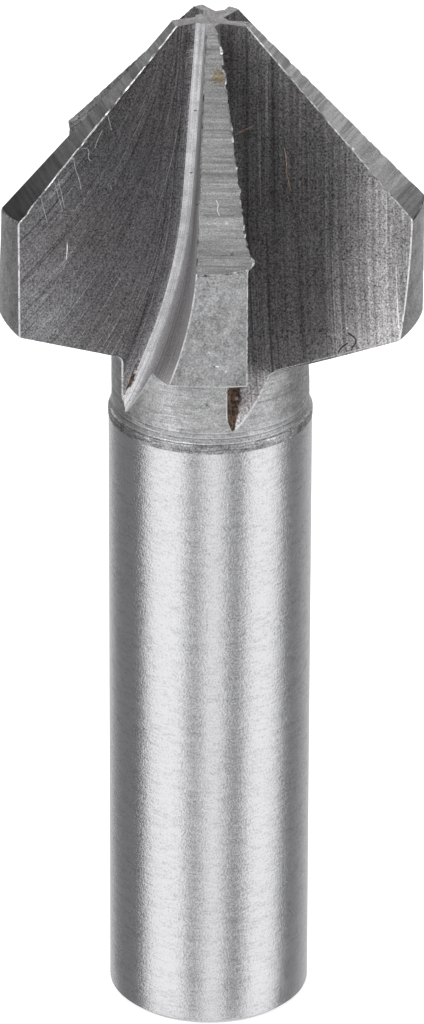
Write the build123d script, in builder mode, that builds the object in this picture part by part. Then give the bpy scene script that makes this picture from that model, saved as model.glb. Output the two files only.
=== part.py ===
from build123d import *
import math
import os

# A countersink bit of hard steel, standing on the flat end of its shank. Sizes are in millimetres.
# Z is the bit's axis, from the centre of the shank's end up to the tip.

# Shank and neck
shank_radius = 6.0
shank_length = 38.8        # from the flat end to the shoulder
end_chamfer = 0.35
band_height = 0.55         # narrow ring under the shoulder that the grinding wheel left
band_step = 0.03           # how far that ring stands out from the ground shank
neck_radius = 5.83
neck_length = 4.1          # from the shoulder to the root of the head
neck_fillet = 0.5

# Head
head_radius = 12.5
back_angle = 22.0          # slope of the head's underside, from the horizontal
land_height = 7.3          # straight band round the head
cone_angle = 90.0          # included angle of the cutting cone
tip_radius = 2.3           # flat left at the tip
cone_relief = 9.0          # each cone land falls away behind its cutting edge

# Flutes, milled by a disc cutter with one flat and one sloping side and a small flat at its corner
flute_count = 5
first_edge_angle = -80.2   # direction of the front tooth's cutting edge, from +X
cutter_radius = 27.4
corner_flat = 0.4          # width and depth of the flat that leaves the bright strip down each flute
wall_angle = 63.5          # sloping side of the groove, from its flat side
flute_tilt = 4.4           # the groove runs deeper towards the tip
gullet_radius = 1.45       # how near the floor of the groove is to the axis where the cutter stops
run_out_gap = 0.75         # neck left whole between the shoulder and the end of a groove
worn_tooth = 3             # counted from the front tooth, at 0
face_loss = 0.7            # how far that tooth's cutting face stands back

# Heights along the axis
band_bottom = shank_length - band_height
neck_top = shank_length + neck_length
back_rise = (head_radius - neck_radius) * math.tan(math.radians(back_angle))
land_bottom = neck_top + back_rise
land_top = land_bottom + land_height
half_cone = math.radians(cone_angle / 2)
cone_height = (head_radius - tip_radius) / math.tan(half_cone)
tip_height = land_top + cone_height

# The turned blank: shank, neck and double cone in one outline
with BuildPart() as blank:
    with BuildSketch(Plane.XZ) as outline:
        with BuildLine():
            Polyline(
                (0, 0),
                (shank_radius, 0),
                (shank_radius, band_bottom),
                (shank_radius + band_step, band_bottom),
                (shank_radius + band_step, shank_length),
                (neck_radius, shank_length),
                (neck_radius, neck_top),
                (head_radius, land_bottom),
                (head_radius, land_top),
                (tip_radius, tip_height),
                (0, tip_height),
                close=True,
            )
        make_face()
        root_of_head = outline.vertices().group_by(Axis.Y)[-4]
        fillet(root_of_head, neck_fillet)
        foot = outline.vertices().group_by(Axis.Y)[0].sort_by(Axis.X)[-1]
        chamfer(foot, end_chamfer)
    revolve(axis=Axis.Z)

# Middle of the disc cutter where it stops, set so that the groove dies out just above the shoulder
tilt = math.radians(flute_tilt)
stop_x = gullet_radius + cutter_radius * math.cos(tilt)
stop_z = shank_length + run_out_gap + math.sqrt(cutter_radius**2 - (stop_x - neck_radius) ** 2)
stop = (stop_x, 0, stop_z)
cutter_width = head_radius
far_radius = cutter_radius - (cutter_width - corner_flat) / math.tan(math.radians(wall_angle))
travel = tip_height - stop_z + cutter_radius

# The space that the cutter sweeps: its round stop, then a straight run out past the tip.
# Its flat side lies in a plane through the bit's axis and leaves the cutting face of a tooth.
with BuildPart() as groove:
    upwards = (-math.sin(tilt), 0, math.cos(tilt))
    outwards = (math.cos(tilt), 0, math.sin(tilt))
    with BuildSketch(Plane(origin=stop, x_dir=outwards, z_dir=upwards)) as half_cutter:
        with BuildLine():
            Polyline(
                (0, 0),
                (corner_flat - cutter_radius, 0),
                (-cutter_radius, corner_flat),
                (-far_radius, cutter_width),
                (0, cutter_width),
                close=True,
            )
        make_face()
    revolve(axis=Axis(stop, (0, 1, 0)))
    extrude(half_cutter.sketch, amount=travel)

# What the relief grinding takes away: all that lies outside a flat through the cutting edge,
# tilted about that edge so that the land behind it cannot rub
relief = math.radians(cone_relief)
towards_tip = (-math.sin(half_cone), 0, math.cos(half_cone))
off_the_cone = Vector(math.cos(half_cone), 0, math.sin(half_cone))
away = off_the_cone * math.cos(relief) + Vector(0, -1, 0) * math.sin(relief)
whole_edge = head_radius / math.sin(half_cone)       # the cutting edge as if it ran on to the axis
with BuildPart() as clearance:
    with BuildSketch(Plane(origin=(head_radius, 0, land_top), x_dir=towards_tip, z_dir=away)):
        Rectangle(2 * whole_edge, 2 * head_radius)     # centred on the edge's lower corner
    extrude(amount=head_radius)

# The finished bit: every tooth alike, except for the worn one
with BuildPart() as countersink_bit:
    add(blank.part)
    with PolarLocations(0, flute_count, start_angle=first_edge_angle):
        add(groove.part, mode=Mode.SUBTRACT)
        add(clearance.part, mode=Mode.SUBTRACT)
    # One tooth's cutting face stands back, so the groove in front of it is wider by the loss
    with PolarLocations(0, 1, start_angle=first_edge_angle + worn_tooth * 360 / flute_count):
        with Locations((0, -face_loss, 0)):
            add(groove.part, mode=Mode.SUBTRACT)
countersink_bit.part.label = "countersink_bit"

os.makedirs("parts", exist_ok=True)
export_step(countersink_bit.part, "parts/countersink_bit.step")
print("overall length", round(tip_height, 2), "head diameter", 2 * head_radius)
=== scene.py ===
import bpy
import bmesh
import math
import numpy as np
from mathutils import Matrix, Vector
from mathutils.bvhtree import BVHTree


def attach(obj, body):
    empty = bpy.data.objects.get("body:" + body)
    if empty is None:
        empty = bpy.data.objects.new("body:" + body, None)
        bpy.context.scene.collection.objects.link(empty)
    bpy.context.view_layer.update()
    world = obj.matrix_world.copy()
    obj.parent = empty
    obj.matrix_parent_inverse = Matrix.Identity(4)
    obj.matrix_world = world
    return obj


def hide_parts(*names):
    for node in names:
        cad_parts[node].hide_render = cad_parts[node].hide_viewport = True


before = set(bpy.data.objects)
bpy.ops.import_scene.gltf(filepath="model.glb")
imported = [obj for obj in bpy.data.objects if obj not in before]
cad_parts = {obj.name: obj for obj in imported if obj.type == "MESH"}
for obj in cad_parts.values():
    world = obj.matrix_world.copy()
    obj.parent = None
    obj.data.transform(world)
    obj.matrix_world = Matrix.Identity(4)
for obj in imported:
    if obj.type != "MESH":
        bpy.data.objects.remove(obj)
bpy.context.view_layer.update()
print("frame loaded, nodes:", sorted(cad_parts))

scene = bpy.context.scene
mm = 0.001
rad = math.radians
frameWidth, frameHeight = 424, 1024      # pixels of the picture

# The bit's own sizes, in millimetres and degrees
bit = {
    "shankRadius": 6.0,
    "shankLength": 38.8,
    "endChamfer": 0.35,
    "bandHeight": 0.55,
    "bandStep": 0.03,
    "neckRadius": 5.83,
    "neckTop": 42.9,
    "neckFillet": 0.5,
    "headRadius": 12.5,
    "backAngle": 22.0,
    "landHeight": 7.3,
    "tipRadius": 2.3,
    "relief": 9.0,
    "teeth": 5,
    "firstEdge": -80.2,     # direction of the front tooth's cutting edge, from +X
    "cutterRadius": 27.4,
    "cornerFlat": 0.4,
    "wallAngle": 63.5,
    "fluteTilt": 4.4,
    "gulletRadius": 1.45,
    "runOutGap": 0.75,
    "wornTooth": 3,
    "faceLoss": 0.7,
    "edgeWear": 0.075,      # width of the bright line along a worn edge
    "webFill": 0.65,        # the web behind the tip is this much thicker in the two rear grooves
    "webReach": 3.2,        # and thins out over this height
}
pitch = 2 * math.pi / bit["teeth"]
landBottom = bit["neckTop"] + (bit["headRadius"] - bit["neckRadius"]) * math.tan(rad(bit["backAngle"]))
landTop = landBottom + bit["landHeight"]
tipHeight = landTop + bit["headRadius"] - bit["tipRadius"]
flat = bit["cornerFlat"]
tilt = rad(bit["fluteTilt"])
stopX = bit["gulletRadius"] + bit["cutterRadius"] * math.cos(tilt)
stopZ = bit["shankLength"] + bit["runOutGap"] + math.sqrt(
    bit["cutterRadius"] ** 2 - (stopX - bit["neckRadius"]) ** 2)
reliefSlope = math.tan(rad(bit["relief"])) / math.cos(math.pi / 4)
turnOn = np.array([[math.cos(pitch), math.sin(pitch), 0],      # from one tooth to the next, for rows of points
                   [-math.sin(pitch), math.cos(pitch), 0], [0, 0, 1]])


def putInScene(name, data):
    obj = bpy.data.objects.new(name, data)
    scene.collection.objects.link(obj)
    return obj


def blankOutline():
    # Radius of the turned blank against height, from the neck up to the cone
    wear, back, fillet, steps = bit["edgeWear"], rad(bit["backAngle"]), bit["neckFillet"], 6
    start = bit["neckTop"] - fillet / math.tan(rad(90 + bit["backAngle"]) / 2)
    heights, radii = [0, start], [bit["neckRadius"]] * 2
    for step in range(1, steps + 1):
        turn = math.pi - (math.pi / 2 - back) * step / steps
        radii.append(bit["neckRadius"] + fillet + fillet * math.cos(turn))
        heights.append(start + fillet * math.sin(turn))
    heights += [landBottom - wear * math.sin(back), landBottom + wear, 2 * landTop]
    radii += [bit["headRadius"] - wear * math.cos(back), bit["headRadius"], bit["headRadius"]]
    return np.array(heights), np.array(radii)


outlineHeights, outlineRadii = blankOutline()


def reliefFall(behind):
    return np.cos(behind) - reliefSlope * np.sin(behind)


def cornerDip(behind):
    # How far the corner between cone and round land drops at an angle behind the edge
    return bit["headRadius"] * (reliefFall(behind) - 1)


def outerRadius(z, behind):
    # Round blank, or the relief ground behind the cutting edge, whichever is nearer the axis
    ground = (bit["headRadius"] - (z - landTop)) / reliefFall(behind)
    return np.minimum(np.interp(z, outlineHeights, outlineRadii), ground)


def fluteFloor(q, z):
    # Distance along the cutting face at which the groove's surface lies, q away from that face
    slope = np.tan(rad(bit["wallAngle"]))
    reach = np.where(q < flat, bit["cutterRadius"] - flat + q, bit["cutterRadius"] - (q - flat) / slope)
    straight = stopX - reach * math.cos(tilt) - (z - stopZ + reach * math.sin(tilt)) * math.tan(tilt)
    curved = stopX - np.sqrt(np.maximum(reach**2 - (stopZ - z) ** 2, 0))
    return np.where(z >= stopZ - reach * math.sin(tilt), straight, curved)


def grooveSurface(q, z, loss, fill=0.0):
    # The worn tooth has the same groove cut once more, nearer to it
    nowhere = 1e3
    web = fill * np.clip(1 - (tipHeight - z) / bit["webReach"], 0, 1) ** 1.5
    own = np.where(q >= 0, fluteFloor(np.maximum(q, 0), z), nowhere)
    return (np.minimum(own, fluteFloor(q + loss, z)) if loss else own) + web


def crossing(inside, outside, test, steps=40):
    for step in range(steps):
        middle = (inside + outside) / 2
        if test(middle):
            inside = middle
        else:
            outside = middle
    return (inside + outside) / 2


runOutEnd = crossing(landBottom, bit["shankLength"],
                     lambda z: fluteFloor(flat, z) ** 2 + flat**2 < bit["neckRadius"] ** 2)
faceEnd = crossing(landBottom, bit["shankLength"], lambda z: fluteFloor(0.0, z) < bit["neckRadius"])
print("grooves run out at", round(runOutEnd, 2), "mm, their faces at", round(faceEnd, 2), "mm")


def edgeAngle(z, loss):
    # Where the cutting edge stands, behind its unworn place. The 12 mm is a first guess at its radius
    return -math.asin(loss / float(outerRadius(z, -loss / 12)))


def crowded(count, first):
    # Fractions from 0 to 1 with small first and last steps
    even = np.linspace(0, 1, count - 2)
    return np.concatenate([[0], [first], even[1:-1], [1 - first], [1]])


columns = {"face": 15, "strip": 4, "wall": 22, "land": 14}     # points across each part of a section
columnCount = sum(columns.values()) + 1
faceShares = np.linspace(0, 1, columns["face"]) ** 1.25        # closer together at the cutting edge
wallShares = crowded(columns["wall"] + 1, 0.02)[1:]
landShares = crowded(columns["land"], 0.035)
dipReach = 2.5              # mm from the corner of the head over which the rows bend to follow it


def roundRow(radius, turn, height):
    return np.stack([radius * np.cos(turn), radius * np.sin(turn), np.broadcast_to(height, turn.shape)], 1)


def toothSection(height, startLoss, endLoss, fill=0.0):
    # One row of points, from a cutting face round the groove and over the land to the next face
    wear = bit["edgeWear"]
    dip = max(0.0, 1 - abs(height - landTop) / dipReach) ** 1.5
    start = edgeAngle(height, startLoss)
    heightAtEdge = height - dip * cornerDip(start)
    radius = float(outerRadius(heightAtEdge, start))
    edgeU, edgeQ = radius * math.cos(start), radius * math.sin(start)
    corner = float(grooveSurface(0.0, heightAtEdge, 0, fill))

    def grooveRow(q, z):
        return np.stack([grooveSurface(q, z, startLoss, fill), q, np.broadcast_to(z, q.shape)], 1)

    def insideBlank(q):
        u = float(grooveSurface(q, heelHeight, 0, fill))
        return u * u + q * q < float(outerRadius(heelHeight, math.atan2(q, u) - pitch)) ** 2

    rows = []
    if corner < edgeU:
        wearHere = min(wear, 0.3 * (edgeU - corner))
        u = edgeU - wearHere - (edgeU - wearHere - corner) * faceShares
        z = height - dip * cornerDip(start) * (1 - faceShares) ** 2
        rows.append(np.stack([u, np.full_like(u, edgeQ), z], 1))
        firstQ = edgeQ
    else:
        firstQ = crossing(flat - startLoss, -startLoss,
                          lambda q: grooveSurface(q, height, startLoss) ** 2 + q * q < radius**2)
        rows.append(roundRow(radius, start + (math.asin(firstQ / radius) - start) * faceShares, height))
    rows.append(grooveRow(np.linspace(firstQ, flat - startLoss, columns["strip"] + 1)[1:], height))

    # The heel, where the wall meets the land, moves with its own dip, so it is found in a few rounds
    heelHeight = height
    for step in range(4):
        heelQ = crossing(flat, bit["headRadius"] - 0.1, insideBlank)
        heelTurn = math.atan2(heelQ, float(grooveSurface(heelQ, heelHeight, 0, fill)))
        heelHeight = height - dip * float(cornerDip(heelTurn - pitch))
    lastQ = heelQ - min(0.85 * wear, 0.3 * (heelQ - flat))
    q = flat - startLoss + (lastQ - flat + startLoss) * wallShares
    rows.append(grooveRow(q, height + (heelHeight - height) * wallShares**2))

    end = pitch + edgeAngle(height, endLoss)
    radius = float(outerRadius(heelHeight, heelTurn - pitch))
    narrow = min(wear / radius, 0.1 * (end - heelTurn))
    turn = heelTurn + narrow + (end - heelTurn - 2 * narrow) * landShares
    z = height - dip * cornerDip(turn - pitch)
    rows.append(roundRow(outerRadius(z, turn - pitch), turn, z))
    return np.concatenate(rows)


def plainSection(height, radius, spread):
    # A full round row. Spread 1 has the points where the groove begins, 0 has them evenly spaced
    turn = np.linspace(0, pitch, columnCount)[:-1]
    if spread > 0:
        begin = math.asin(flat / bit["neckRadius"])
        land = begin + (pitch - begin - 0.012) * landShares
        bunched = np.concatenate([begin * faceShares, np.full(columns["strip"] + columns["wall"], begin), land])
        turn = turn + (bunched - turn) * spread
    return roundRow(radius, turn, height)


neckStart = bit["shankLength"] + 0.06      # where the neck is plain, above the shoulder's root
rowCounts = {"shank": 24, "neck": 5, "runOut": 6, "face": 9, "back": 16, "land": 50, "cone": 100}


def evenly(start, end, part):
    return list(np.linspace(start, end, rowCounts[part]))


def buildRows():
    # (height, radius or None where there are grooves, kind of surface above that row)
    wear, shank, band = bit["edgeWear"], bit["shankRadius"], bit["shankRadius"] + bit["bandStep"]
    chamfer, top, neck = bit["endChamfer"], bit["shankLength"], bit["neckRadius"]
    bandBottom = top - bit["bandHeight"]
    rows = [(0, shank - chamfer - 0.03, "end"), (0.025, shank - chamfer, "end"),
            (chamfer - 0.02, shank - 0.015, "end"), (chamfer + 0.04, shank, "shank")]
    rows += [(z, shank, "shank") for z in evenly(chamfer, bandBottom, "shank")[1:-1]]
    rows += [(bandBottom - 0.01, shank, "band"), (bandBottom + 0.02, band, "band"), (top - 0.16, band, "shoulder"),
             (top - 0.04, band - 0.05, "shoulder"), (top, band - 0.14, "shoulder"),
             (top + 0.01, neck + 0.03, "neck"), (neckStart, neck, "neck")]
    rows += [(z, neck, "neck") for z in evenly(neckStart, runOutEnd, "neck")[1:]]
    rows += [(z, None, "neck") for z in evenly(runOutEnd, faceEnd, "runOut")[1:]]
    rows += [(z, None, "neck") for z in evenly(faceEnd, bit["neckTop"] - 0.4, "face")[1:]]
    rows += [(z, None, "fillet") for z in outlineHeights[1:-4]]
    rows += [(z, None, "back") for z in evenly(outlineHeights[-4], outlineHeights[-3], "back")[:-1]]
    rows += [(outlineHeights[-3], None, "bottomEdge")]
    rows += [(z, None, "land") for z in evenly(landBottom + wear, landTop - wear, "land")[:-1]]
    rows += [(landTop - wear, None, "topEdge")]
    rows += [(z, None, "cone") for z in evenly(landTop + 0.6 * wear, tipHeight, "cone")]
    return rows


rowPlan = buildRows()
zones = ["shank", "band", "neck", "back", "land", "cone", "face", "strip", "wall", "edge", "coneEdge", "tip"]
zoneOf = {"end": "shank", "shoulder": "band", "fillet": "neck", "bottomEdge": "edge", "topEdge": "coneEdge"}


def sectorPoints(startLoss, endLoss, fill=0.0):
    # All rows of one tooth, each closed by the first point of the next tooth
    grid = []
    for z, radius, kind in rowPlan:
        if radius is None:
            row = toothSection(z, startLoss, endLoss, fill)
            following = toothSection(z, endLoss, endLoss)[0]
        else:
            row = plainSection(z, radius, np.clip((z - neckStart) / (runOutEnd - neckStart), 0, 1))
            following = row[0]
        grid.append(np.concatenate([row, [following @ turnOn]]))
    return np.array(grid)


damage = {
    "chipWay": (-0.45, -0.9, -0.1),         # a nick goes inwards, into the tooth and a little down
    "landChips": 0.35,                      # share of it below the cone
    "rolled": 0.13,                         # burr over the face, along the cone's edges
    "cornerRolled": (0.24, 0.33, 0.28),     # more of it near the corner: how much, mm above the corner, width
    "coneFrom": (0.25, 0.3),                # the burr starts this far below the cone, and is whole so much higher
    "tipFade": (0.8, 0.15),                 # and dies out over this height at the tip, down to this share
    "faceSide": (1.0, 0.45, 0.12),          # how both die out from the edge over the face
    "landSide": (1.0, 1.0, 0.6, 0.15),      # and over the land
    "rust": 0.62,
    "rustAcross": [1.5] * 4 + [0.9] * 9 + [0.88, 0.85, 0.8, 0.7, 0.6, 0.5],     # from the face up the wall
    "rustTop": 1.6,                         # mm above the neck where the rust ends
    "rustFade": 3.0,
}


def buildSector():
    plain = sectorPoints(0.0, 0.0)
    rowCount, width = plain.shape[:2]
    z = plain[:, 0, 2]
    grooved = np.array([row[1] is None for row in rowPlan])
    firstLand = columns["face"] + columns["strip"] + columns["wall"]
    landSide = np.zeros((rowCount, width))
    landSide[:, firstLand:] = 1
    web = sectorPoints(0.0, 0.0, bit["webFill"]) - plain
    web[:, -1] = 0
    wornStart, wornEnd = sectorPoints(bit["faceLoss"], 0.0), sectorPoints(0.0, bit["faceLoss"])
    shift = np.where(landSide[..., None] > 0, wornEnd, wornStart) - plain
    shift[~grooved] = 0

    # Ways in which the cutting edge is pushed: chipped into the tooth, or rolled over its face
    extra, above, spread = damage["cornerRolled"]
    (below, rise), (fade, least) = damage["coneFrom"], damage["tipFade"]
    onCone = np.clip((z - landTop + below) / rise, 0, 1) * np.clip((tipHeight - z) / fade, least, 1)
    rolled = onCone * (damage["rolled"] + extra * np.exp(-((z - landTop - above) / spread) ** 2))
    onEdge = grooved & (np.array([row[0] for row in rowPlan]) > bit["neckTop"])
    chipped = onEdge * np.where(z > landTop - 0.2, 1.0, damage["landChips"])
    chipStep, burrStep = np.outer(chipped, damage["chipWay"]), np.outer(rolled, (0, 1, 0))
    chip, burr = np.zeros_like(plain), np.zeros_like(plain)
    for column, weight in enumerate(damage["faceSide"]):
        chip[:, column], burr[:, column] = chipStep * weight, burrStep * weight
    for column, weight in enumerate(damage["landSide"], 1):
        chip[:, -column], burr[:, -column] = chipStep @ turnOn * weight, burrStep @ turnOn * weight

    # Rust sits in the bottom of the groove where it runs out
    inGroove = np.zeros(width)
    firstRusty = columns["face"] - 4
    inGroove[firstRusty:firstRusty + len(damage["rustAcross"])] = damage["rustAcross"]
    rustiness = grooved * np.clip((bit["neckTop"] + damage["rustTop"] - z) / damage["rustFade"], 0, 1)
    rustiness = rustiness[:, None] * inGroove * damage["rust"]

    # How far each point of a face is from the bright strip
    corner = columns["face"] - 1
    fromStrip = np.zeros((rowCount, width))
    fromStrip[:, :corner] = np.maximum(plain[:, :corner, 0] - plain[:, corner:corner + 1, 0], 0)

    # The cutter's lines run along the first of the two coordinates, or round the axis on what was turned
    x, y, height = plain[..., 0], plain[..., 1], plain[..., 2]
    sweep = np.sqrt(np.maximum((bit["cutterRadius"] - flat) ** 2 - (stopX - x) ** 2, 0)) + height
    turned = (np.arctan2(y, x) * np.hypot(x, y), height)
    linesOf = {"face": (x, sweep), "strip": (height, y), "wall": (height, y)}
    stripLast, wallLast = corner + columns["strip"], firstLand - 1
    faces, faceZone, uvs = [], [], []
    for i in range(rowCount - 1):
        hasFace = rowPlan[i][0] >= faceEnd - 1e-6
        for j in range(width - 1):
            zone = zoneOf.get(rowPlan[i][2], rowPlan[i][2])
            if grooved[i + 1]:
                if j < corner:
                    zone = "face" if hasFace else "neck"
                elif j < stripLast:
                    zone = "strip"
                elif j < wallLast:
                    zone = "wall"
                elif j == wallLast or (j == width - 2 and hasFace):
                    zone = "edge" if rowPlan[i][0] < landTop else "coneEdge"
            corners = [(i, j), (i, j + 1), (i + 1, j + 1), (i + 1, j)]
            u, v = linesOf.get(zone, turned)
            uvs += [(u[at], v[at]) for at in corners]
            faces.append([row * width + column for row, column in corners])
            faceZone.append(zones.index(zone))
    mesh = bpy.data.meshes.new("oneTooth")
    mesh.from_pydata((plain.reshape(-1, 3) * mm).tolist(), [], faces)
    layer = mesh.uv_layers.new(name="cutLines")
    layer.data.foreach_set("uv", np.array(uvs, np.float32).ravel())
    mesh.attributes.new("zone", "INT", "FACE").data.foreach_set("value", np.array(faceZone, np.int32))
    for name, numbers in {"rustiness": rustiness, "fromStrip": fromStrip, "landSide": landSide}.items():
        mesh.attributes.new(name, "FLOAT", "POINT").data.foreach_set("value", numbers.ravel().astype(np.float32))
    for name, ways in {"wornShift": shift, "webShift": web, "chipWay": chip, "burrWay": burr}.items():
        kept = mesh.attributes.new(name, "FLOAT_VECTOR", "POINT")
        kept.data.foreach_set("vector", (ways * mm).ravel().astype(np.float32))
    print("one tooth:", rowCount, "rows of", width, "points")
    return putInScene("countersinkHead", mesh)


# Short helpers for node trees. Each takes sockets or plain numbers
def put(tree, kind, **settings):
    node = tree.nodes.new(kind)
    for name, setting in settings.items():
        setattr(node, name, setting)
    return node


def join(tree, item, socket):
    if isinstance(item, bpy.types.NodeSocket):
        tree.links.new(item, socket)
    else:
        socket.default_value = item


def value(tree, operation, a, b=None, clamp=False):
    node = put(tree, "ShaderNodeMath", operation=operation, use_clamp=clamp)
    join(tree, a, node.inputs[0])
    if b is not None:
        join(tree, b, node.inputs[1])
    return node.outputs[0]


def plus(tree, a, b, clamp=False):
    return value(tree, "ADD", a, b, clamp)


def minus(tree, a, b):
    return value(tree, "SUBTRACT", a, b)


def times(tree, product, *others):
    for item in others:
        product = value(tree, "MULTIPLY", product, item)
    return product


def scaled(tree, vector, amount):
    node = put(tree, "ShaderNodeVectorMath", operation="SCALE")
    join(tree, vector, node.inputs[0])
    join(tree, amount, node.inputs["Scale"])
    return node.outputs[0]


def parted(tree, vector):
    node = put(tree, "ShaderNodeSeparateXYZ")
    join(tree, vector, node.inputs[0])
    return list(node.outputs)


def combined(tree, *parts):
    node = put(tree, "ShaderNodeCombineXYZ")
    for item, socket in zip(parts, node.inputs):
        join(tree, item, socket)
    return node.outputs[0]


def mixed(tree, share, first, second, blend="MIX"):
    node = put(tree, "ShaderNodeMix", data_type="RGBA", blend_type=blend)
    for item, slot in ((share, 0), (first, 6), (second, 7)):     # the Mix node's sockets for colours
        join(tree, item, node.inputs[slot])
    return node.outputs[2]


def attribute(tree, name):
    return put(tree, "ShaderNodeAttribute", attribute_name=name).outputs["Fac"]


def texture(tree, vector, scale, detail=2.0, rough=0.55, warp=0.0, copy=None):
    noise = put(tree, "ShaderNodeTexNoise", noise_dimensions="4D" if copy else "3D")
    settings = {"Vector": vector, "Scale": scale, "Detail": detail, "Roughness": rough, "Distortion": warp}
    if copy:
        settings["W"] = copy
    for name, item in settings.items():
        join(tree, item, noise.inputs[name])
    return noise.outputs[0]


def window(tree, source, low, high, outLow=0.0, outHigh=1.0):
    # Smooth step of a value from one range to another
    node = put(tree, "ShaderNodeMapRange", interpolation_type="SMOOTHSTEP")
    for socket, item in zip(node.inputs[:5], (source, low, high, outLow, outHigh)):
        join(tree, item, socket)
    return node.outputs[0]


def newGroup(name, inputs, outputs):
    # Sockets called Vector or Color are of that kind, and all others are numbers
    tree = bpy.data.node_groups.new(name, "ShaderNodeTree")
    for direction, labels in (("INPUT", inputs), ("OUTPUT", outputs)):
        for label in labels:
            kind = label if label in ("Vector", "Color") else "Float"
            tree.interface.new_socket(label, in_out=direction, socket_type="NodeSocket" + kind)
    return tree, put(tree, "NodeGroupInput").outputs, put(tree, "NodeGroupOutput").inputs


def newMaterial(name):
    material = bpy.data.materials.new(name)
    material.use_nodes = True
    return material, material.node_tree, material.node_tree.nodes["Principled BSDF"]


def cutLinesGroup():
    # Lines that a cutter, wheel or lathe tool leaves: long one way, fine across, different on each tooth
    tree, given, result = newGroup("cutLines", [
        "Vector", "Tooth", "Along", "Across", "Contrast", "Scratches", "Scratch share"], ["Shade", "Height"])
    split = parted(tree, given["Vector"])

    def stretched(along, across, shift, detail, rough=0.55):
        # Fine across the lines, which run in x and y, and shifted from tooth to tooth
        parts = [times(tree, part, given[name], stretch) for part, name, stretch in zip(
            split, ("Along", "Along", "Across"), (along, along, across))]
        copy = plus(tree, times(tree, given["Tooth"], 3.7), shift)
        return texture(tree, combined(tree, *parts), 1.0, detail, rough, copy=copy)

    def thinLines(noise, soft):
        return window(tree, noise, given["Scratch share"], plus(tree, given["Scratch share"], soft))

    broad = stretched(0.5, 0.35, 1.0, 2.0)
    fine = stretched(1.0, 1.0, 5.0, 4.0, 0.65)
    both = plus(tree, times(tree, broad, 0.4), times(tree, fine, 0.6))
    shade = times(tree, minus(tree, both, 0.5), times(tree, given["Contrast"], 3.0))
    pale = thinLines(stretched(1.6, 1.3, 11.0, 1.0), 0.09)
    pale = times(tree, pale, window(tree, stretched(0.9, 0.12, 17.0, 1.0), 0.42, 0.6))
    shade = plus(tree, plus(tree, shade, 1.0), times(tree, pale, given["Scratches"]))
    dark = thinLines(stretched(0.8, 0.8, 23.0, 1.0), 0.08)
    shade = minus(tree, shade, times(tree, dark, given["Scratches"], 0.35))
    join(tree, value(tree, "MAXIMUM", shade, 0.05), result["Shade"])
    join(tree, both, result["Height"])
    return tree


def dots(tree, vector, scale, share, size, amount):
    # Scattered small round marks, in the cells whose number is above share
    cells = put(tree, "ShaderNodeTexVoronoi")
    cells.inputs["Scale"].default_value = scale
    join(tree, vector, cells.inputs["Vector"])
    chosen = value(tree, "GREATER_THAN", parted(tree, cells.outputs["Color"])[0], share)
    return times(tree, window(tree, cells.outputs["Distance"], size, size * 0.5), chosen, amount)


def handlingGroup():
    # Uneven dulling in patches, with fine pits and dust
    tree, given, result = newGroup("handling", [
        "Vector", "Patch size", "Contrast", "Grit", "Grit size", "Pits", "Specks"], ["Shade", "Height"])
    vector = given["Vector"]
    patch = texture(tree, vector, value(tree, "DIVIDE", 1 / mm, given["Patch size"]), 3.0, 0.6, 0.4)
    grit = texture(tree, vector, value(tree, "DIVIDE", 1 / mm, given["Grit size"]), 2.0, 0.7)
    shade = times(tree, minus(tree, patch, 0.5), times(tree, given["Contrast"], 3.0))
    fine = times(tree, minus(tree, grit, 0.5), times(tree, given["Grit"], 4.0))
    specks = dots(tree, vector, scale=1100.0, share=0.86, size=0.13, amount=given["Specks"])
    pits = dots(tree, vector, scale=800.0, share=0.8, size=0.12, amount=given["Pits"])
    shade = plus(tree, plus(tree, plus(tree, shade, fine), minus(tree, specks, pits)), 1.0)
    join(tree, value(tree, "MAXIMUM", shade, 0.05), result["Shade"])
    join(tree, grit, result["Height"])
    return tree


def rustGroup():
    # Brown rust where the amount is high, broken up by noise. Bare is 1 where the steel shows
    tree, given, result = newGroup("rust", ["Color", "Vector", "Amount"], ["Color", "Bare"])
    grain = texture(tree, given["Vector"], 3200.0, 4.0, 0.7)
    limit = minus(tree, 1.0, given["Amount"])
    mask = window(tree, grain, minus(tree, limit, 0.08), plus(tree, limit, 0.1))
    paler = window(tree, texture(tree, given["Vector"], 5200.0, 3.0), 0.35, 0.65)
    tone = mixed(tree, paler, (0.012, 0.008, 0.006, 1), (0.13, 0.075, 0.042, 1))
    join(tree, mixed(tree, mask, given["Color"], tone), result["Color"])
    join(tree, minus(tree, 1.0, mask), result["Bare"])
    return tree


cutLines, handling, rust = cutLinesGroup(), handlingGroup(), rustGroup()
mostGivenBack = 0.93        # steel gives back less light than it gets


def place(tree, group, **settings):
    node = put(tree, "ShaderNodeGroup")
    node.node_tree = group
    for name, item in settings.items():
        join(tree, item, node.inputs[name.replace("_", " ")])
    return node.outputs


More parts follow.
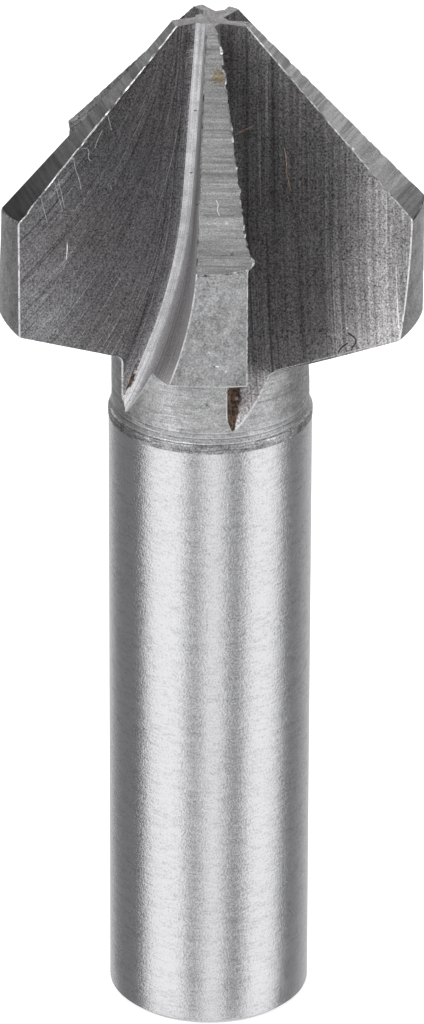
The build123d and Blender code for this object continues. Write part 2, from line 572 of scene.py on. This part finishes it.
def steel(name, look):
    # look: colour; rough; lines (along, across, contrast, scratches, level above which they show); patches (mm,
    # contrast, grit); relief, the bump in mm. Where given: gritSize, pits, specks, pitted (grit in the bump),
    # milled (lines follow the cutter), turned (spun while it was ground), and those noted below
    material, tree, shader = newMaterial(name)
    spot = put(tree, "ShaderNodeTexCoord").outputs["Object"]
    u, v = parted(tree, put(tree, "ShaderNodeUVMap", uv_map="cutLines").outputs[0])[:2]
    tooth = 0.0 if look.get("turned") else attribute(tree, "owner")
    inMillimetres = scaled(tree, spot, 1 / mm)
    height = parted(tree, inMillimetres)[2]
    along, across, contrast, scratches, share = look["lines"]
    way = combined(tree, u, 0.0, v) if look.get("milled") else inMillimetres
    lines = place(tree, cutLines, Vector=way, Tooth=tooth, Along=along, Across=across, Contrast=contrast,
                  Scratches=scratches, Scratch_share=share)
    size, uneven, grit = look["patches"]
    worn = place(tree, handling, Vector=spot, Patch_size=size, Contrast=uneven, Grit=grit,
                 Grit_size=look.get("gritSize", 0.085), Pits=look.get("pits", 0.35), Specks=look.get("specks", 0.6))
    ragged = minus(tree, worn["Height"], 0.5)
    shade = times(tree, lines["Shade"], worn["Shade"])
    coordinates = {"depth": v, "height": height, "reach": u}
    for coordinate, low, high, first, last, teeth in look.get("tones", []):
        tone = window(tree, coordinates[coordinate], low, high, first, last)
        if teeth:                            # only on these teeth, by their numbers
            inside = times(tree, window(tree, tooth, teeth[0] - 0.7, teeth[0] - 0.3),
                           window(tree, tooth, teeth[1] + 0.7, teeth[1] + 0.3))
            tone = plus(tree, times(tree, minus(tree, tone, 1.0), inside), 1.0)
        shade = times(tree, shade, tone)
    for ring, width, change in look.get("rings", []):      # single turned lines, at a height
        off = value(tree, "ABSOLUTE", minus(tree, height, ring))
        shade = times(tree, shade, window(tree, off, 0.0, width, change, 1.0))
    if "beside" in look:                     # ridges that follow the bright strip, and a paler border along it
        reach, depth, paler = look["beside"]
        off = attribute(tree, "fromStrip")
        ridged = combined(tree, times(tree, off, 7.0), times(tree, v, 0.1), 0.0)
        ridge = texture(tree, ridged, 1.0, 2.0, 0.6, copy=tooth)
        ridge = times(tree, minus(tree, ridge, 0.5), depth, window(tree, off, 0.2, reach, 1.0, 0.0))
        shade = times(tree, shade, plus(tree, ridge, 1.0), window(tree, off, 0.1, 0.6, paler, 1.0))
    shade = value(tree, "MINIMUM", shade, mostGivenBack / max(look["colour"]))
    colour = scaled(tree, look["colour"], shade)
    if "stain" in look:                      # amount, tint and fineness, and where it dies out down the wall
        amount, tint, lumps = look["stain"]
        if "stainEnds" in look:
            amount = window(tree, v, *look["stainEnds"], amount, 0.0)
        cover = window(tree, texture(tree, spot, lumps, 3.0, 0.6), 0.42, 0.68)
        colour = mixed(tree, times(tree, cover, amount), colour, (*tint, 1), "MULTIPLY")
    if "spot" in look:                       # one small stain: its middle in millimetres, size and tint
        middle, size, tint = look["spot"]
        away = put(tree, "ShaderNodeVectorMath", operation="DISTANCE")
        join(tree, inMillimetres, away.inputs[0])
        join(tree, middle, away.inputs[1])
        edge = plus(tree, away.outputs["Value"], times(tree, ragged, 2 * size))
        colour = mixed(tree, window(tree, edge, size, size * 0.5), colour, (*tint, 1), "MULTIPLY")
    firstMost = window(tree, tooth, 0.2, 0.8, 1.2, 0.68)      # the front tooth's groove has the most rust
    amount = times(tree, attribute(tree, "rustiness"), firstMost)
    rusted = place(tree, rust, Color=colour, Vector=spot, Amount=amount)
    join(tree, rusted["Color"], shader.inputs["Base Color"])
    join(tree, rusted["Bare"], shader.inputs["Metallic"])
    rough = plus(tree, times(tree, minus(tree, 1.0, rusted["Bare"]), 0.4), look["rough"])
    join(tree, plus(tree, rough, times(tree, ragged, 0.25), clamp=True), shader.inputs["Roughness"])
    bump = put(tree, "ShaderNodeBump")
    bump.inputs["Distance"].default_value = look["relief"] * mm
    pitted = times(tree, worn["Height"], look.get("pitted", 0.3))
    join(tree, plus(tree, lines["Height"], pitted), bump.inputs["Height"])
    join(tree, bump.outputs[0], shader.inputs["Normal"])
    if look.get("turned"):
        shader.inputs["Anisotropic"].default_value = look["turned"]
        shader.inputs["Anisotropic Rotation"].default_value = 0.25
        around = put(tree, "ShaderNodeVectorMath", operation="CROSS_PRODUCT")
        join(tree, (0, 0, 1), around.inputs[0])
        join(tree, inMillimetres, around.inputs[1])
        join(tree, around.outputs[0], shader.inputs["Tangent"])
    return material


finishes = {
    "shank": steel("groundShank", {
        "colour": (0.89, 0.89, 0.905), "rough": 0.2, "lines": (1.3, 6.0, 0.32, 0.15, 0.62),
        "patches": (3.0, 0.05, 0.2), "gritSize": 0.13, "relief": 0.045, "turned": 0.8, "pits": 0.15,
        "specks": 0.25, "pitted": 0.4}),
    "band": steel("dullBand", {
        "colour": (0.46, 0.46, 0.465), "rough": 0.42, "lines": (0.8, 9.0, 0.9, 0.7, 0.58),
        "patches": (0.7, 0.6, 0.9), "relief": 0.016}),
    "neck": steel("turnedNeck", {
        "colour": (0.61, 0.61, 0.615), "rough": 0.42, "lines": (0.5, 7.0, 0.45, 0.5, 0.6),
        "patches": (0.45, 0.3, 0.5), "relief": 0.026, "pitted": 0.8,
        "rings": [(39.12, 0.07, 0.6), (39.2, 0.06, 1.4), (39.44, 0.06, 0.7), (39.5, 0.06, 1.3)]}),
    "back": steel("turnedBack", {
        "colour": (0.36, 0.36, 0.365), "rough": 0.45, "lines": (0.3, 7.0, 0.6, 0.3, 0.6),
        "patches": (1.2, 0.3, 0.5), "relief": 0.014}),
    "land": steel("roundLand", {
        "colour": (0.52, 0.52, 0.525), "rough": 0.42, "lines": (0.6, 2.5, 0.16, 0.1, 0.66),
        "patches": (0.8, 0.4, 0.55), "gritSize": 0.11, "relief": 0.01, "pitted": 1.0,
        "tones": [("height", 0.0, 1.0, 1.0, 1.2, (1, 4))]}),
    "cone": steel("groundCone", {
        "colour": (0.235, 0.235, 0.237), "rough": 0.4, "lines": (0.26, 7.5, 1.1, 0.3, 0.64),
        "patches": (1.6, 0.12, 0.45), "relief": 0.018,
        "tones": [("height", landTop, landTop + 2.0, 1.5, 3.2, (1, 1)),
                  ("height", landTop + 4, landTop + 9.0, 1.0, 0.8, (1, 1)),
                  ("height", 0.0, 1.0, 1.0, 2.0, (2, 3)),
                  ("height", landTop - 0.5, landTop + 8.5, 0.4, 2.0, (4, 4))],
        "spot": ((0.45, -4.0, 61.15), 0.62, (0.8, 0.66, 0.46))}),
    "face": steel("milledFace", {
        "milled": True, "colour": (0.235, 0.234, 0.24), "rough": 0.46, "lines": (0.16, 7.0, 0.55, 1.3, 0.6),
        "patches": (1.0, 0.2, 0.9), "gritSize": 0.105, "relief": 0.008, "beside": (3.0, 3.2, 1.8),
        "stain": (0.2, (0.86, 0.75, 0.7), 260.0),
        "tones": [("height", 45.0, 59.0, 1.1, 0.8, None), ("height", 0.0, 1.0, 1.0, 1.4, (3, 3)),
                  ("reach", 7.0, 12.0, 0.98, 1.3, None)]}),
    "strip": steel("gulletStrip", {
        "milled": True, "colour": (0.6, 0.6, 0.615), "rough": 0.34, "lines": (0.1, 12.0, 1.1, 0.4, 0.6),
        "patches": (0.9, 0.3, 0.3), "relief": 0.008, "pits": 0.9}),
    "wall": steel("milledWall", {
        "milled": True, "colour": (0.265, 0.258, 0.26), "rough": 0.42, "lines": (0.05, 5.2, 1.15, 0.8, 0.6),
        "patches": (1.4, 0.2, 0.95), "gritSize": 0.105, "relief": 0.01,
        "stain": (0.4, (0.84, 0.72, 0.68), 240.0), "stainEnds": (4.0, 7.0),
        # the two depth tones are painted shade: the wall darkens 2 to 5 mm out of the gullet and grows lighter
        # towards the heel
        "tones": [("depth", 2.0, 5.0, 0.98, 0.78, None), ("depth", 4.5, 9.8, 1.0, 2.05, None),
                  ("depth", 0.0, 0.1, 1.0, 2.3, (4, 4)), ("height", 42.3, 43.5, 1.1, 1.0, (4, 5)),
                  ("height", 42.3, 43.5, 2.2, 1.0, (-1, 0))]}),
    "edge": steel("wornEdge", {
        "colour": (0.92, 0.92, 0.93), "rough": 0.75, "lines": (0.6, 4.0, 0.6, 0.2, 0.6),
        "patches": (0.5, 0.6, 0.5), "relief": 0.004}),
    "coneEdge": steel("wornConeEdge", {
        "colour": (0.3, 0.3, 0.3), "rough": 0.38, "lines": (0.6, 4.0, 1.5, 0.9, 0.57),
        "patches": (0.4, 1.4, 0.5), "relief": 0.008, "tones": [("height", 0.0, 1.0, 1.0, 1.5, (4, 4))]}),
    "tip": steel("tipFlat", {
        "colour": (0.44, 0.44, 0.44), "rough": 0.42, "lines": (0.8, 5.0, 0.5, 0.3, 0.6),
        "patches": (0.5, 0.35, 0.6), "relief": 0.012, "stain": (0.4, (0.85, 0.7, 0.66), 900.0)}),
}
print("finishes made:", len(finishes))

ringSettings = {
    "Teeth": bit["teeth"],
    "First edge": rad(bit["firstEdge"]),
    "Worn tooth": bit["wornTooth"],
    "Rear groove": 2.0,
    "Chip depth": 0.2,
    "Chip size": 3300.0,
    "Burr": 1.0,
    "Seed": 7,
    "Weld": 1.5e-6,
}
settingKinds = {"Teeth": "Int", "Worn tooth": "Int", "Seed": "Int"}


def ringTree():
    tree = bpy.data.node_groups.new("ringOfTeeth", "GeometryNodeTree")
    tree.interface.new_socket("Geometry", in_out="INPUT", socket_type="NodeSocketGeometry")
    for name in ringSettings:
        tree.interface.new_socket(name, in_out="INPUT", socket_type="NodeSocket" + settingKinds.get(name, "Float"))
    for name in zones:
        tree.interface.new_socket(name + " steel", in_out="INPUT", socket_type="NodeSocketMaterial")
    tree.interface.new_socket("Geometry", in_out="OUTPUT", socket_type="NodeSocketGeometry")
    given, result = put(tree, "NodeGroupInput").outputs, put(tree, "NodeGroupOutput")

    def named(name, kind):
        node = put(tree, "GeometryNodeInputNamedAttribute", data_type=kind)
        node.inputs["Name"].default_value = name
        return next(s for s in node.outputs if s.enabled and s.name == "Attribute")

    def stored(geometry, name, amount, kind, domain):
        node = put(tree, "GeometryNodeStoreNamedAttribute", data_type=kind, domain=domain)
        node.inputs["Name"].default_value = name
        join(tree, geometry, node.inputs["Geometry"])
        join(tree, amount, next(s for s in node.inputs if s.enabled and s.name == "Value"))
        return node.outputs[0]

    # One copy of the tooth for each place round the axis
    points = put(tree, "GeometryNodePoints")
    join(tree, given["Teeth"], points.inputs["Count"])
    index = put(tree, "GeometryNodeInputIndex").outputs[0]
    step = value(tree, "DIVIDE", 2 * math.pi, given["Teeth"])
    copies = put(tree, "GeometryNodeInstanceOnPoints")
    join(tree, points.outputs[0], copies.inputs["Points"])
    join(tree, given["Geometry"], copies.inputs["Instance"])
    spun = combined(tree, 0.0, 0.0, plus(tree, times(tree, index, step), given["First edge"]))
    join(tree, spun, copies.inputs["Rotation"])
    real = put(tree, "GeometryNodeRealizeInstances")
    join(tree, stored(copies.outputs[0], "toothNumber", index, "INT", "INSTANCE"), real.inputs[0])

    # Which tooth each point belongs to, and the turn of its copy
    number = named("toothNumber", "INT")
    owner = value(tree, "MODULO", plus(tree, number, named("landSide", "FLOAT")), given["Teeth"])
    turn = plus(tree, times(tree, number, step), given["First edge"])

    def pushed(geometry, way, amount):
        # Moved along a stored way, turned with the copy
        turned = put(tree, "ShaderNodeVectorRotate", rotation_type="Z_AXIS")
        join(tree, named(way, "FLOAT_VECTOR"), turned.inputs["Vector"])
        join(tree, turn, turned.inputs["Angle"])
        node = put(tree, "GeometryNodeSetPosition")
        join(tree, geometry, node.inputs["Geometry"])
        join(tree, scaled(tree, turned.outputs[0], amount), node.inputs["Offset"])
        return node.outputs[0]

    # The worn tooth's face stands back
    shape = stored(real.outputs[0], "owner", owner, "FLOAT", "POINT")
    fromWorn = value(tree, "ABSOLUTE", minus(tree, owner, given["Worn tooth"]))
    shape = pushed(shape, "wornShift", value(tree, "LESS_THAN", fromWorn, 0.5))

    # The web stays thick behind the tip in the rear groove, and half as thick in the next one
    behind = minus(tree, number, given["Rear groove"])
    rear = times(tree, value(tree, "GREATER_THAN", behind, -0.5), minus(tree, 1.0, times(tree, behind, 0.5)))
    shape = pushed(shape, "webShift", rear)

    # Nicks and rolled burrs along the cutting edges
    position = put(tree, "GeometryNodeInputPosition").outputs[0]

    def roughness(scale, offset, detail):
        return texture(tree, position, scale, detail, 0.5, copy=plus(tree, given["Seed"], offset))

    nick = times(tree, minus(tree, roughness(given["Chip size"], 0.0, 2.0), 0.52), 4.0)
    nick = times(tree, value(tree, "MAXIMUM", nick, 0.0), given["Chip depth"])
    frontMost = minus(tree, 1.0, times(tree, value(tree, "MINIMUM", owner, 1.0), 0.45))
    lump = roughness(times(tree, given["Chip size"], 0.6), 3.0, 3.0)
    lump = times(tree, lump, 2.0, given["Burr"], frontMost)
    shape = pushed(pushed(shape, "burrWay", lump), "chipWay", nick)

    weld = put(tree, "GeometryNodeMergeByDistance")
    join(tree, shape, weld.inputs["Geometry"])
    join(tree, given["Weld"], weld.inputs["Distance"])
    shape = weld.outputs[0]
    for which, name in enumerate(zones):
        same = put(tree, "FunctionNodeCompare", data_type="INT", operation="EQUAL")
        join(tree, named("zone", "INT"), same.inputs[2])         # 2 and 3 compare whole numbers
        join(tree, which, same.inputs[3])
        painted = put(tree, "GeometryNodeSetMaterial")
        join(tree, shape, painted.inputs["Geometry"])
        join(tree, same.outputs[0], painted.inputs["Selection"])
        join(tree, given[name + " steel"], painted.inputs["Material"])
        shape = painted.outputs[0]
    join(tree, shape, result.inputs[0])
    return tree


def plainMesh(obj):
    # The evaluated shape as a mesh of its own
    return bpy.data.meshes.new_from_object(obj.evaluated_get(bpy.context.evaluated_depsgraph_get()))


def closeEnds(obj):
    # Fill the tip's star and the flat end of the shank
    mesh = obj.data
    if finishes["tip"].name not in mesh.materials:
        mesh.materials.append(finishes["tip"])
    slots = list(mesh.materials)
    shape = bmesh.new()
    shape.from_mesh(mesh)
    bmesh.ops.dissolve_degenerate(shape, dist=1e-7, edges=shape.edges)
    middle = tipHeight * mm / 2
    for top, zone in ((True, "tip"), (False, "shank")):
        rim = [e for e in shape.edges if e.is_boundary and (e.verts[0].co.z > middle) == top]
        made = bmesh.ops.triangle_fill(shape, edges=rim, use_beauty=True)
        for item in made["geom"]:
            if isinstance(item, bmesh.types.BMFace):
                item.material_index = slots.index(finishes[zone])
    bmesh.ops.recalc_face_normals(shape, faces=shape.faces)
    print("open edges left:", sum(1 for e in shape.edges if not e.is_manifold))
    for face in shape.faces:
        face.smooth = True
    shape.to_mesh(mesh)
    shape.free()
    mesh.set_sharp_from_angle(angle=rad(24))


def buildHead():
    obj = buildSector()
    tree = ringTree()
    modifier = obj.modifiers.new("ringOfTeeth", "NODES")
    modifier.node_group = tree
    socket = {item.name: item.identifier for item in tree.interface.items_tree
              if item.item_type == "SOCKET" and item.in_out == "INPUT"}
    for name, setting in ringSettings.items():
        modifier[socket[name]] = setting
    for name in zones:
        modifier[socket[name + " steel"]] = finishes[name]
    bpy.context.view_layer.update()
    mesh = plainMesh(obj)
    mesh.name = "countersinkBit"
    obj.modifiers.clear()
    obj.data = mesh
    closeEnds(obj)
    triangles = sum(len(polygon.vertices) - 2 for polygon in obj.data.polygons)
    print("bit:", len(obj.data.vertices), "points,", triangles, "triangles")
    return obj


head = buildHead()
head.name = "steelBit"
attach(head, "root")
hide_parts("countersink_bit")

view = {
    "distance": 0.460,          # metres, and the height on the axis that it looks at
    "lookHeight": 0.031584,
    "elevation": 26.13,         # degrees, as is the roll
    "roll": 0.18,
    "lens": 272.94,
    "sensor": 36.0,
    "shiftPixels": 1.959,
}


def buildCamera():
    camera = bpy.data.cameras.new("camera")
    camera.sensor_width = view["sensor"]
    camera.lens = view["lens"]
    camera.shift_x = view["shiftPixels"] / frameHeight
    camera.clip_start, camera.clip_end = 0.01, 20
    obj = putInScene("camera", camera)
    rise = rad(view["elevation"])
    turn = Matrix.Rotation(math.pi / 2 - rise, 4, "X") @ Matrix.Rotation(rad(view["roll"]), 4, "Z")
    stand = (0, -view["distance"] * math.cos(rise), view["lookHeight"] + view["distance"] * math.sin(rise))
    obj.matrix_world = Matrix.Translation(stand) @ turn
    scene.camera = obj
    print("camera at", [round(x, 3) for x in stand])


buildCamera()

# Lint, burrs and scratches that lie on the steel, and one pale line that is a painted highlight, each path along
# pixels of the picture. Thick is in mm
marks = {
    "tanFibre": {
        "paths": [[(238, 132.5), (245, 129.5), (252, 126.5)]],
        "thick": 0.022, "colour": (0.42, 0.27, 0.17)},
    "paleHair": {
        "paths": [[(216, 200), (219, 205), (216.5, 210), (219.5, 216)]],
        "thick": 0.026, "colour": (0.62, 0.62, 0.6)},
    "rustFibre": {
        "paths": [[(284, 148), (287, 158), (286, 170), (288, 180), (291, 190)]],
        "thick": 0.02, "colour": (0.31, 0.2, 0.13)},
    "darkCurl": {
        "paths": [[(348, 333), (355, 337), (356.7, 343), (351.7, 348)], [(338.5, 352), (342, 346), (348, 343)]],
        "thick": 0.04, "colour": (0.02, 0.018, 0.017)},
    "paleScratch": {
        "paths": [[(66, 260), (67.5, 250), (67, 242)]],
        "thick": 0.024, "colour": (0.75, 0.75, 0.75)},
    "edgeScratches": {
        "paths": [[(40.6, 197.5), (43.5, 208), (47.5, 223.5)], [(54, 181), (58, 195), (62.5, 211)],
                  [(57.5, 178.5), (61, 190), (63.7, 205)], [(73.7, 160), (75, 168.7), (80, 181), (81, 190)],
                  [(81, 148.5), (87.5, 147.5), (89.4, 152.5), (87.5, 158.7), (90.6, 160.6)],
                  [(102.5, 130), (96.2, 141), (95, 148)], [(107.5, 115), (110, 123), (111.2, 130)],
                  [(71.3, 210), (73, 210.7), (74.4, 212)], [(110, 185), (111, 187), (112, 189)]],
        "thick": 0.017, "colour": (0.4, 0.4, 0.4)},
    "edgeBurr": {
        "paths": [[(55.5, 177.5), (58.5, 173), (62, 169.5), (66.5, 163.5), (70, 160), (74.5, 153.5), (79, 148.5)],
                  [(86, 139.6), (89.5, 134.8), (93, 131), (97.5, 124.8)]],
        "thick": 0.042, "colour": (0.55, 0.55, 0.55)},
    # a pale line along the lower edge of the wall: a painted highlight of that edge
    "paintedEdgeHighlight": {
        "paths": [[(273, 374), (266, 385), (260, 396)], [(275, 370.6), (292, 366.3), (310, 361.8)],
                  [(312, 361.3), (350, 351.8), (386, 342.8), (399.5, 339.4)]],
        "thick": 0.019, "colour": (0.6, 0.6, 0.6)},
    "paleSpecks": {
        "paths": [[(352.2, 148.2), (353, 149), (353.8, 150.4)], [(346.4, 327.6), (347, 328.2), (347.8, 328.8)],
                  [(215.5, 366.8), (217, 366), (218.6, 367)]],
        "thick": 0.036, "colour": (0.7, 0.7, 0.7)},
    "darkFlecks": {
        "paths": [[(193.8, 110.4), (195.4, 111.2), (196.8, 110.2)], [(189.8, 172.6), (191, 173.4), (192.4, 172.4)],
                  [(196.5, 204), (198, 205.2), (199.6, 204)]],
        "thick": 0.026, "colour": (0.07, 0.065, 0.06)},
}


def pixelRay(x, y):
    # From the camera through a pixel of the picture
    rise, roll = rad(view["elevation"]), rad(view["roll"])
    focal = view["lens"] / view["sensor"] * frameHeight
    across, down = x - frameWidth / 2 + view["shiftPixels"], y - frameHeight / 2
    u = across * math.cos(roll) + down * math.sin(roll)
    v = down * math.cos(roll) - across * math.sin(roll)
    ahead = Vector((0, math.cos(rise), -math.sin(rise)))
    above = Vector((0, math.sin(rise), math.cos(rise)))
    return (ahead + Vector((1, 0, 0)) * (u / focal) - above * (v / focal)).normalized()


def layMark(name, setting, surface):
    start = scene.camera.matrix_world.translation
    curve = bpy.data.curves.new(name, "CURVE")
    curve.dimensions = "3D"
    curve.bevel_depth = setting["thick"] * mm
    curve.bevel_resolution = 1
    curve.use_fill_caps = True
    for path in setting["paths"]:
        spline = curve.splines.new("NURBS")
        spline.points.add(len(path) - 1)
        for point, pixel in zip(spline.points, path):
            hit, normal = surface.ray_cast(start, pixelRay(*pixel))[:2]
            point.co = (*(hit + normal * setting["thick"] * mm * 0.6), 1)      # partly sunk in the steel
        spline.order_u = 3
        spline.use_endpoint_u = True
    carrier = putInScene(name, curve)
    mesh = plainMesh(carrier)
    bpy.data.objects.remove(carrier)
    material, tree, shader = newMaterial(name)
    shader.inputs["Roughness"].default_value = 0.6
    uneven = texture(tree, put(tree, "ShaderNodeTexCoord").outputs["Object"], 6000.0, 2.0)
    tinted = scaled(tree, setting["colour"], window(tree, uneven, 0.3, 0.7, 0.6, 1.3))
    join(tree, tinted, shader.inputs["Base Color"])
    mesh.materials.clear()
    mesh.materials.append(material)
    obj = putInScene(name, mesh)
    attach(obj, "root")


def layMarks():
    shape = bmesh.new()
    shape.from_mesh(head.data)
    surface = BVHTree.FromBMesh(shape)
    for name, setting in marks.items():
        layMark(name, setting, surface)
    shape.free()
    print("marks laid:", len(marks))


layMarks()


def stageObject(name, verts, faces, material):
    mesh = bpy.data.meshes.new(name)
    mesh.from_pydata(verts, [], faces)
    mesh.materials.append(material)
    obj = putInScene(name, mesh)
    return obj


def straightRays(tree):
    # 1 for what the camera sees straight, by reflection or through glass
    path = put(tree, "ShaderNodeLightPath").outputs
    seen = plus(tree, path["Is Camera Ray"], path["Is Glossy Ray"])
    return plus(tree, seen, path["Is Transmission Ray"], clamp=True)


def buildFloor(half=3.0):
    material, tree, shader = newMaterial("paleFloor")
    shader.inputs["Base Color"].default_value = (0.92, 0.92, 0.92, 1)
    shader.inputs["Roughness"].default_value = 0.9
    shader.inputs["Specular IOR Level"].default_value = 0.0
    shader.inputs["Emission Color"].default_value = (1, 1, 1, 1)
    join(tree, times(tree, straightRays(tree), 0.4), shader.inputs["Emission Strength"])
    corners = [(-half, -half, 0), (half, -half, 0), (half, half, 0), (-half, half, 0)]
    stageObject("floor", corners, [(0, 1, 2, 3)], material).visible_glossy = False


studio = {
    "ringRadius": 0.30,
    "ringHalfHeight": 0.34,
    # reflected cards round the bit: from, to (degrees from the front, towards +X) and brightness
    "cards": [(-180, -146, 0.6), (-146, -128, 0.24), (-128, -78, 0.17), (-78, -25, 0.9), (-25, -11, 0.19),
              (-11, 19, 0.82), (19, 40, 0.22), (40, 87, 0.89), (87, 128, 0.2), (128, 150, 0.38), (150, 180, 0.6)],
    "below": 0.7,
    "worldForDiffuse": 0.75,
    # where each lamp stands, its size and its power
    "lamps": {"keyLamp": ((-0.45, -0.55, 0.6), 0.35, 3.0), "fillLamp": ((0.55, -0.45, 0.5), 0.4, 2.0)},
    "lampTarget": (0, 0, 0.04),
}


def card(name, verts, faces, level):
    # A card that polished steel mirrors. Only reflections see it
    material, tree, shader = newMaterial(name)
    tree.nodes.remove(shader)
    glow = put(tree, "ShaderNodeEmission")
    glow.inputs["Color"].default_value = (level, level, level * 1.01, 1)
    join(tree, glow.outputs[0], tree.nodes["Material Output"].inputs["Surface"])
    obj = stageObject(name, verts, faces, material)
    obj.visible_camera = obj.visible_diffuse = obj.visible_shadow = obj.visible_transmission = False


def ringOfCards():
    # Upright cards all round the bit, and one below it
    radius, half = studio["ringRadius"], studio["ringHalfHeight"]
    for start, end, level in studio["cards"]:
        steps = max(2, int((end - start) / 4))
        turns = [rad(start + (end - start) * i / steps) for i in range(steps + 1)]
        verts = [(radius * math.sin(t), -radius * math.cos(t), z) for t in turns for z in (-half, half)]
        card("card%03d" % (start + 180), verts,
             [(2 * i, 2 * i + 2, 2 * i + 3, 2 * i + 1) for i in range(steps)], level)
    rim = [(radius * math.sin(rad(t)), -radius * math.cos(rad(t)), -half) for t in range(0, 360, 12)]
    card("cardBelow", rim, [tuple(range(len(rim)))], studio["below"])


def softLamp(name, stand, size, power):
    lamp = bpy.data.lights.new(name, "AREA")
    lamp.energy, lamp.size = power, size
    obj = putInScene(name, lamp)
    obj.location = stand
    obj.rotation_euler = (Vector(studio["lampTarget"]) - Vector(stand)).to_track_quat("-Z", "Y").to_euler()
    obj.visible_camera = False


def studioWorld():
    world = bpy.data.worlds.new("studio")
    scene.world = world
    world.use_nodes = True
    tree = world.node_tree
    background = tree.nodes["Background"]
    background.inputs["Color"].default_value = (1, 1, 1, 1)
    dim = studio["worldForDiffuse"]
    join(tree, plus(tree, times(tree, straightRays(tree), 1 - dim), dim), background.inputs["Strength"])


buildFloor()
ringOfCards()
for name, (stand, size, power) in studio["lamps"].items():
    softLamp(name, stand, size, power)
studioWorld()
scene.view_settings.view_transform = "Standard"
print("studio:", len(studio["cards"]) + 1, "cards and", len(studio["lamps"]), "lamps")
